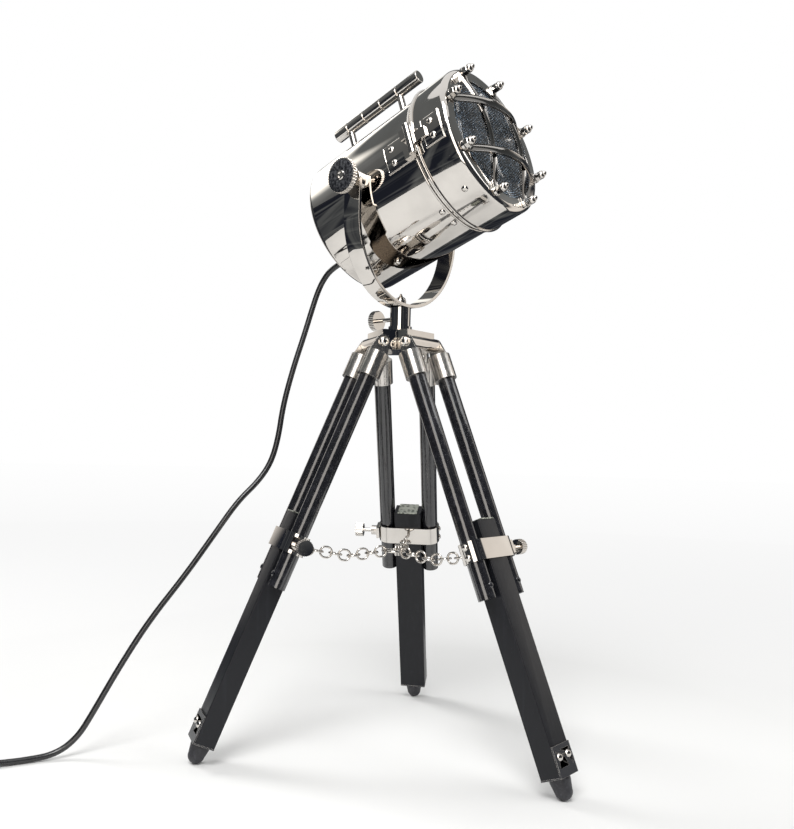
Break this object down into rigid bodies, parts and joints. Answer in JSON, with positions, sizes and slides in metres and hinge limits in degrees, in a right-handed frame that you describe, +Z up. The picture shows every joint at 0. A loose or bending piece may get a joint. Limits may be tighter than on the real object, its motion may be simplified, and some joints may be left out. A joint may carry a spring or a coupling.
{
  "type": "tabletop searchlight lamp",
  "caption": "Polished drum spotlight in a U fork on a folding wooden tripod with sliding lower legs, spreader chains and a cord.",
  "frame": {"origin": "on the tripod's axis at the surface that the feet stand on", "axes": "+Z up, the lamp looks towards -Y over the front leg, +X to its left-hand side seen from the lamp"},
  "size_m": [0.5946, 0.5254, 0.634],
  "materials": {
    "polished_nickel": "mirror-polished nickel plate",
    "chain_nickel": "bright nickel wire",
    "black_lacquer": "glossy black lacquer on turned wood",
    "black_bar_paint": "satin black paint on straight-grained wood",
    "black_plate": "black plate with bright worn edges",
    "black_rubber": "moulded black rubber",
    "lens_glass": "pebbled pressed glass with faint rings",
    "bulb_glass": "frosted globe",
    "reflector_metal": "bright spun bowl",
    "holder_ceramic": "glazed ceramic",
    "cord_sheath": "smooth black sheath",
    "black_plastic": "moulded black plastic"
  },
  "bodies": {
    "root": {"hub": "polished_nickel", "stem_sleeve": "polished_nickel", "hinge_bolts": "polished_nickel", "chain_ring": "chain_nickel", "cord": "cord_sheath", "cord_coil": "cord_sheath", "plug": "black_plastic", "cord_switch": "black_plastic"},
    "pan_screw": {"pan_screw": "polished_nickel"},
    "fork": {"fork": "polished_nickel", "stem_bolt": "polished_nickel"},
    "tilt_knob_left": {"tilt_knob_left": "polished_nickel"},
    "tilt_knob_right": {"tilt_knob_right": "polished_nickel"},
    "head": {"drum_shell": "polished_nickel", "pivot_bosses": "polished_nickel", "handle_bar": "polished_nickel", "handle_posts": "polished_nickel", "lampholder": "holder_ceramic", "bulb": "bulb_glass", "reflector": "reflector_metal", "cord_gland": "black_rubber", "drum_screws": "polished_nickel", "hinge_leaf_drum": "polished_nickel", "hinge_pin": "polished_nickel"},
    "door": {"door_ring": "polished_nickel", "lens": "lens_glass", "lens_seal": "black_rubber", "guard_strips": "polished_nickel", "guard_studs": "polished_nickel", "hinge_leaf_door": "polished_nickel", "door_screws": "polished_nickel"},
    "latch_screw": {"latch_screw": "polished_nickel"},
    "switch_rocker": {"switch_rocker": "black_plastic"},
    "front_leg": {"front_ferrules": "polished_nickel", "front_dowels": "black_lacquer", "front_clamp": "polished_nickel"},
    "front_lower": {"front_bar": "black_bar_paint", "front_bar_fittings": "black_plate", "front_foot": "black_rubber"},
    "front_clamp_screw": {"front_clamp_screw": "polished_nickel"},
    "front_chain_inner": {"front_chain_inner": "chain_nickel"},
    "front_chain_outer": {"front_chain_outer": "chain_nickel"},
    "right_leg": {"right_ferrules": "polished_nickel", "right_dowels": "black_lacquer", "right_clamp": "polished_nickel"},
    "right_lower": {"right_bar": "black_bar_paint", "right_bar_fittings": "black_plate", "right_foot": "black_rubber"},
    "right_clamp_screw": {"right_clamp_screw": "polished_nickel"},
    "right_chain_inner": {"right_chain_inner": "chain_nickel"},
    "right_chain_outer": {"right_chain_outer": "chain_nickel"},
    "left_leg": {"left_ferrules": "polished_nickel", "left_dowels": "black_lacquer", "left_clamp": "polished_nickel"},
    "left_lower": {"left_bar": "black_bar_paint", "left_bar_fittings": "black_plate", "left_foot": "black_rubber"},
    "left_clamp_screw": {"left_clamp_screw": "polished_nickel"},
    "left_chain_inner": {"left_chain_inner": "chain_nickel"},
    "left_chain_outer": {"left_chain_outer": "chain_nickel"}
  },
  "joints": [
    {"name": "head_pan", "type": "hinge", "parent": "root", "child": "fork", "pos_m": [0, 0, 0.417], "axis": [0, 0, 1], "range_deg": [-90, 90]},
    {"name": "pan_screw_turn", "type": "hinge", "parent": "root", "child": "pan_screw", "pos_m": [0, 0, 0.40696], "axis": [0, 1, 0], "range_deg": [0, 360]},
    {"name": "head_tilt", "type": "hinge", "parent": "fork", "child": "head", "pos_m": [0, 0, 0.5195], "axis": [1, 0, 0], "range_deg": [-35, 54], "deforming": ["cord"]},
    {"name": "tilt_knob_left_turn", "type": "hinge", "parent": "head", "child": "tilt_knob_left", "pos_m": [-0.073, 0, 0.5195], "axis": [-1, 0, 0], "range_deg": [0, 360]},
    {"name": "tilt_knob_right_turn", "type": "hinge", "parent": "head", "child": "tilt_knob_right", "pos_m": [0.073, 0, 0.5195], "axis": [1, 0, 0], "range_deg": [0, 360]},
    {"name": "door_swing", "type": "hinge", "parent": "head", "child": "door", "pos_m": [-0.0724, -0.06229, 0.54131], "axis": [0, -0.3305, -0.9438], "range_deg": [0, 100]},
    {"name": "latch_screw_turn", "type": "hinge", "parent": "door", "child": "latch_screw", "pos_m": [0.073, -0.06257, 0.54141], "axis": [0, -0.9438, 0.3305], "range_deg": [0, 360]},
    {"name": "switch_rocker_tip", "type": "hinge", "parent": "root", "child": "switch_rocker", "pos_m": [-0.3482, 0.2257, 0.014], "axis": [-0.3431, -0.9393, 0], "range_deg": [-16, 0]},
    {"name": "front_leg_fold", "type": "hinge", "parent": "root", "child": "front_leg", "pos_m": [0, -0.025, 0.38196], "axis": [1, 0, 0], "range_deg": [0, 18]},
    {"name": "front_leg_slide", "type": "slide", "parent": "front_leg", "child": "front_lower", "axis": [0, -0.3907, -0.9205], "range_m": [-0.13, 0.0165]},
    {"name": "front_clamp_screw_turn", "type": "hinge", "parent": "front_leg", "child": "front_clamp_screw", "pos_m": [0.0319, -0.10322, 0.19768], "axis": [1, 0, 0], "range_deg": [0, 360]},
    {"name": "front_chain_inner_swing", "type": "hinge", "parent": "root", "child": "front_chain_inner", "pos_m": [0, -0.00925, 0.188], "axis": [1, 0, 0], "range_deg": [0, 75], "deforming": ["front_chain_inner"]},
    {"name": "front_chain_outer_swing", "type": "hinge", "parent": "front_leg", "child": "front_chain_outer", "pos_m": [0, -0.0811, 0.18967], "axis": [1, 0, 0], "range_deg": [-93, 0], "deforming": ["front_chain_outer"]},
    {"name": "right_leg_fold", "type": "hinge", "parent": "root", "child": "right_leg", "pos_m": [0.02165, 0.0125, 0.38196], "axis": [-0.5, 0.866, 0], "range_deg": [0, 18]},
    {"name": "right_leg_slide", "type": "slide", "parent": "right_leg", "child": "right_lower", "axis": [0.3384, 0.1954, -0.9205], "range_m": [-0.13, 0.0165]},
    {"name": "right_clamp_screw_turn", "type": "hinge", "parent": "right_leg", "child": "right_clamp_screw", "pos_m": [0.07344, 0.07924, 0.19768], "axis": [-0.5, 0.866, 0], "range_deg": [0, 360]},
    {"name": "right_chain_inner_swing", "type": "hinge", "parent": "root", "child": "right_chain_inner", "pos_m": [0.00801, 0.00462, 0.188], "axis": [-0.5, 0.866, 0], "range_deg": [0, 75], "deforming": ["right_chain_inner"]},
    {"name": "right_chain_outer_swing", "type": "hinge", "parent": "right_leg", "child": "right_chain_outer", "pos_m": [0.07024, 0.04055, 0.18967], "axis": [-0.5, 0.866, 0], "range_deg": [-93, 0], "deforming": ["right_chain_outer"]},
    {"name": "left_leg_fold", "type": "hinge", "parent": "root", "child": "left_leg", "pos_m": [-0.02165, 0.0125, 0.38196], "axis": [-0.5, -0.866, 0], "range_deg": [0, 18]},
    {"name": "left_leg_slide", "type": "slide", "parent": "left_leg", "child": "left_lower", "axis": [-0.3384, 0.1954, -0.9205], "range_m": [-0.13, 0.0165]},
    {"name": "left_clamp_screw_turn", "type": "hinge", "parent": "left_leg", "child": "left_clamp_screw", "pos_m": [-0.10534, 0.02399, 0.19768], "axis": [-0.5, -0.866, 0], "range_deg": [0, 360]},
    {"name": "left_chain_inner_swing", "type": "hinge", "parent": "root", "child": "left_chain_inner", "pos_m": [-0.00801, 0.00462, 0.188], "axis": [-0.5, -0.866, 0], "range_deg": [0, 75], "deforming": ["left_chain_inner"]},
    {"name": "left_chain_outer_swing", "type": "hinge", "parent": "left_leg", "child": "left_chain_outer", "pos_m": [-0.07024, 0.04055, 0.18967], "axis": [-0.5, -0.866, 0], "range_deg": [-93, 0], "deforming": ["left_chain_outer"]}
  ],
  "couplings": [
    {"joint": "front_chain_inner_swing", "follows": "front_leg_fold", "ratio": 4.1662},
    {"joint": "front_chain_outer_swing", "follows": "front_leg_fold", "ratio": -5.1662},
    {"joint": "right_chain_inner_swing", "follows": "right_leg_fold", "ratio": 4.1662},
    {"joint": "right_chain_outer_swing", "follows": "right_leg_fold", "ratio": -5.1662},
    {"joint": "left_chain_inner_swing", "follows": "left_leg_fold", "ratio": 4.1662},
    {"joint": "left_chain_outer_swing", "follows": "left_leg_fold", "ratio": -5.1662}
  ]
}
